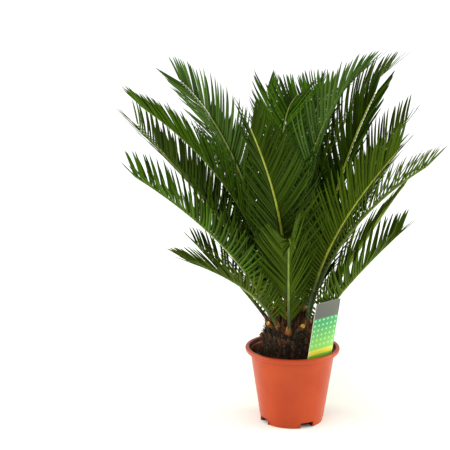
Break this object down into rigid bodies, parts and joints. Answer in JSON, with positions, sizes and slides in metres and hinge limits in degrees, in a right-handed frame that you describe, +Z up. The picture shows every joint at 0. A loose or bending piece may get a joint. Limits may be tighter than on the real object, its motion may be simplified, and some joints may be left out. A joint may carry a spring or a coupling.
{
  "type": "potted sago palm",
  "caption": "Young sago palm: stout scaly trunk with a crown of stiff arching feather fronds, in a tapered plastic nursery pot of soil with a blank plant label.",
  "frame": {"origin": "middle of the flat underside of the pot", "axes": "+Z up along the pot's axis; -Y towards the side that the plant label faces most, +X to the right of that view"},
  "size_m": [0.6302, 0.6805, 0.7335],
  "materials": {
    "pot": "satin",
    "soil": "matte",
    "trunk": "matte",
    "label": "satin",
    "frond": "satin"
  },
  "bodies": {
    "root": {"pot": "pot", "soil": "soil", "trunk": "trunk", "plant_label": "label", "frond_01": "frond", "frond_02": "frond", "frond_03": "frond", "frond_04": "frond", "frond_05": "frond", "frond_06": "frond", "frond_07": "frond", "frond_08": "frond", "frond_09": "frond", "frond_10": "frond", "frond_11": "frond", "frond_12": "frond", "frond_13": "frond", "frond_14": "frond", "frond_15": "frond", "frond_16": "frond", "frond_17": "frond", "frond_18": "frond", "frond_19": "frond", "frond_20": "frond", "frond_21": "frond", "frond_22": "frond", "frond_23": "frond", "frond_24": "frond", "frond_25": "frond", "frond_26": "frond", "frond_27": "frond"}
  },
  "joints": []
}
